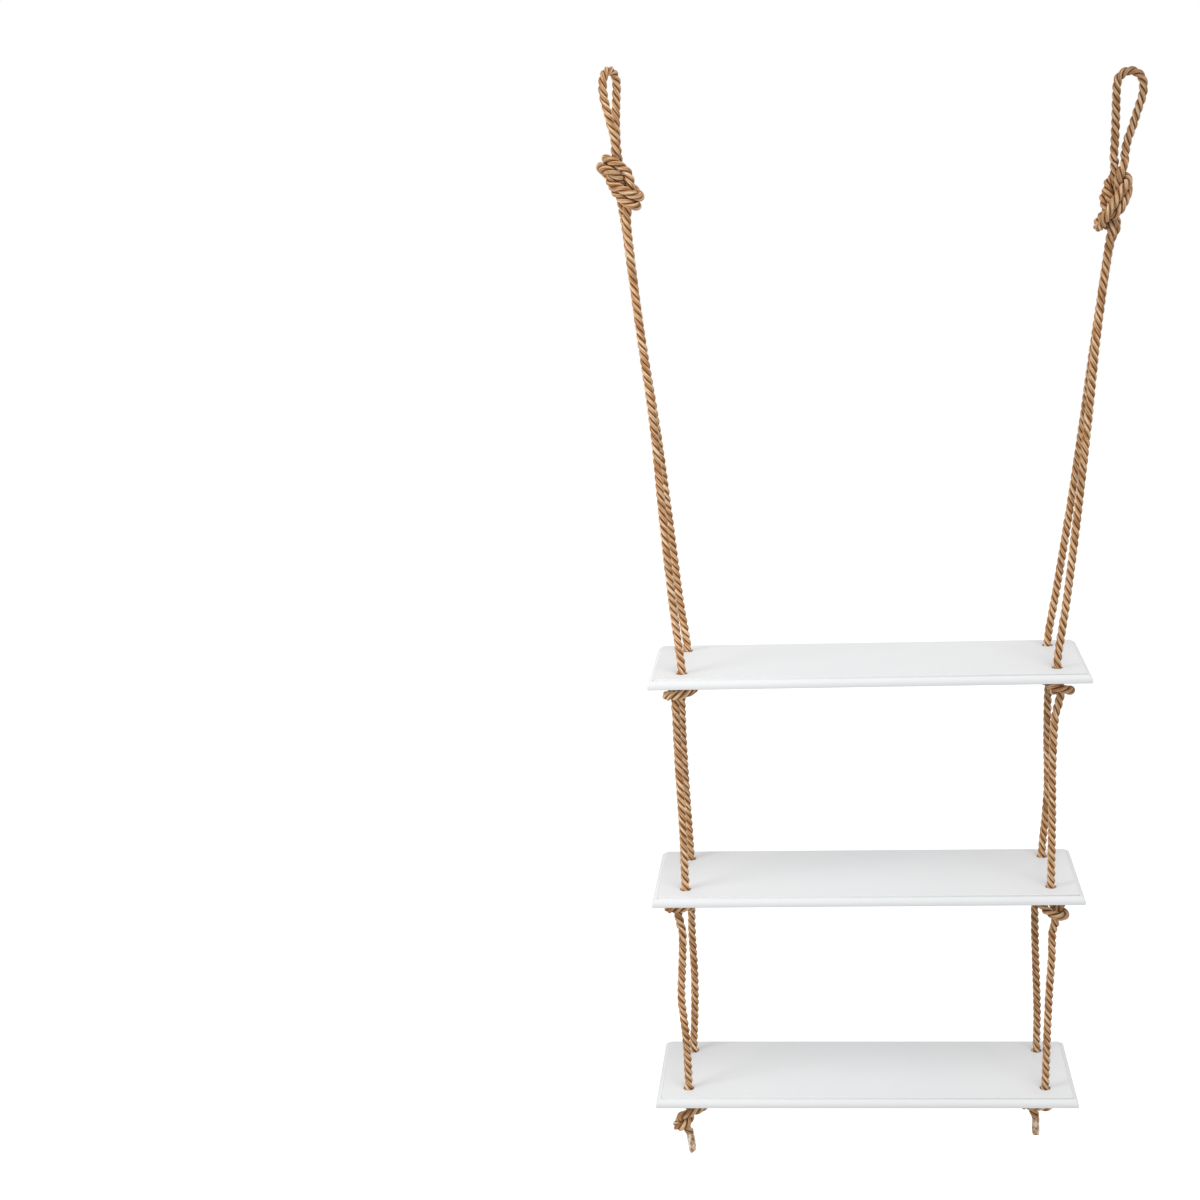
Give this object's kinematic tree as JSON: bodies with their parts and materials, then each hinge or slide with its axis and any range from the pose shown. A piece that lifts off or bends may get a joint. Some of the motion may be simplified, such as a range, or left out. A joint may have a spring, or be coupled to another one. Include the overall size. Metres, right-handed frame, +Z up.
{
  "type": "hanging rope shelf",
  "caption": "Tiered wall shelf of moulded white boards hung one below another on knotted jute ropes with hanging loops.",
  "frame": {"origin": "midway between the two hooks, on the line where the undersides of the loops' bights bear", "axes": "+X along the boards to the viewer's right, -Y towards the front, +Z up"},
  "size_m": [0.5155, 0.138, 1.0887],
  "materials": {
    "jute_rope": "natural three-strand laid rope, dry and hairy",
    "painted_board": "satin white paint",
    "tape": "thin clear packing tape"
  },
  "bodies": {
    "root": {"left_loop": "jute_rope", "right_loop": "jute_rope"},
    "top_knots": {"left_top_knot_front_strand": "jute_rope", "left_top_knot_rear_strand": "jute_rope", "right_top_knot_front_strand": "jute_rope", "right_top_knot_rear_strand": "jute_rope"},
    "left_upper_ropes": {"front_left_upper_rope": "jute_rope", "rear_left_upper_rope": "jute_rope"},
    "right_upper_ropes": {"front_right_upper_rope": "jute_rope", "rear_right_upper_rope": "jute_rope"},
    "upper_tier": {"upper_board": "painted_board", "upper_front_left_knot": "jute_rope", "upper_rear_left_knot": "jute_rope", "upper_front_right_knot": "jute_rope", "upper_rear_right_knot": "jute_rope"},
    "middle_front_ropes": {"front_left_middle_rope": "jute_rope", "front_right_middle_rope": "jute_rope"},
    "middle_rear_ropes": {"rear_left_middle_rope": "jute_rope", "rear_right_middle_rope": "jute_rope"},
    "middle_tier": {"middle_board": "painted_board", "middle_front_left_knot": "jute_rope", "middle_rear_left_knot": "jute_rope", "middle_front_right_knot": "jute_rope", "middle_rear_right_knot": "jute_rope"},
    "lower_front_ropes": {"front_left_lower_rope": "jute_rope", "front_right_lower_rope": "jute_rope"},
    "lower_rear_ropes": {"rear_left_lower_rope": "jute_rope", "rear_right_lower_rope": "jute_rope"},
    "lower_tier": {"lower_board": "painted_board", "lower_front_left_knot": "jute_rope", "lower_rear_left_knot": "jute_rope", "lower_front_right_knot": "jute_rope", "lower_rear_right_knot": "jute_rope", "front_left_tail": "jute_rope", "rear_left_tail": "jute_rope", "front_right_tail": "jute_rope", "rear_right_tail": "jute_rope", "front_left_tape": "tape", "rear_left_tape": "tape", "front_right_tape": "tape", "rear_right_tape": "tape"}
  },
  "joints": [
    {"name": "swing", "type": "hinge", "parent": "root", "child": "top_knots", "pos_m": [0, 0, -0.0748], "axis": [1, 0, 0], "range_deg": [-15, 15], "deforming": ["left_loop", "right_loop"]},
    {"name": "side_sway", "type": "hinge", "parent": "top_knots", "child": "left_upper_ropes", "pos_m": [-0.2316, 0, -0.1284], "axis": [0, 1, 0], "range_deg": [-5, 5], "deforming": ["front_left_upper_rope", "rear_left_upper_rope"]},
    {"name": "right_ropes_sway", "type": "hinge", "parent": "top_knots", "child": "right_upper_ropes", "pos_m": [0.226, 0, -0.1454], "axis": [0, 1, 0], "range_deg": [-5.5, 5.5], "deforming": ["front_right_upper_rope", "rear_right_upper_rope"]},
    {"name": "upper_board_level", "type": "hinge", "parent": "left_upper_ropes", "child": "upper_tier", "pos_m": [-0.183, 0, -0.565], "axis": [0, 1, 0], "range_deg": [-6.5, 6.5]},
    {"name": "middle_sway", "type": "hinge", "parent": "upper_tier", "child": "middle_front_ropes", "pos_m": [0, -0.0425, -0.603], "axis": [1, 0, 0], "range_deg": [-12, 12], "deforming": ["front_left_middle_rope", "front_right_middle_rope"]},
    {"name": "middle_rear_sway", "type": "hinge", "parent": "upper_tier", "child": "middle_rear_ropes", "pos_m": [0, 0.0425, -0.602], "axis": [1, 0, 0], "range_deg": [-12.5, 12.5], "deforming": ["rear_left_middle_rope", "rear_right_middle_rope"]},
    {"name": "middle_board_level", "type": "hinge", "parent": "middle_front_ropes", "child": "middle_tier", "pos_m": [0, -0.0425, -0.7877], "axis": [1, 0, 0], "range_deg": [-12.5, 12.5]},
    {"name": "lower_sway", "type": "hinge", "parent": "middle_tier", "child": "lower_front_ropes", "pos_m": [0, -0.0425, -0.8295], "axis": [1, 0, 0], "range_deg": [-12, 12], "deforming": ["front_left_lower_rope", "front_right_lower_rope"]},
    {"name": "lower_rear_sway", "type": "hinge", "parent": "middle_tier", "child": "lower_rear_ropes", "pos_m": [0, 0.0425, -0.8286], "axis": [1, 0, 0], "range_deg": [-12.5, 12.5], "deforming": ["rear_left_lower_rope", "rear_right_lower_rope"]},
    {"name": "lower_board_level", "type": "hinge", "parent": "lower_front_ropes", "child": "lower_tier", "pos_m": [0, -0.0425, -1.007], "axis": [1, 0, 0], "range_deg": [-12.5, 12.5]}
  ],
  "couplings": [
    {"joint": "right_ropes_sway", "follows": "side_sway", "ratio": 1.06},
    {"joint": "upper_board_level", "follows": "side_sway", "ratio": -1.25},
    {"joint": "middle_rear_sway", "follows": "middle_sway", "ratio": 1},
    {"joint": "middle_board_level", "follows": "middle_sway", "ratio": -1},
    {"joint": "lower_rear_sway", "follows": "lower_sway", "ratio": 1},
    {"joint": "lower_board_level", "follows": "lower_sway", "ratio": -1}
  ]
}
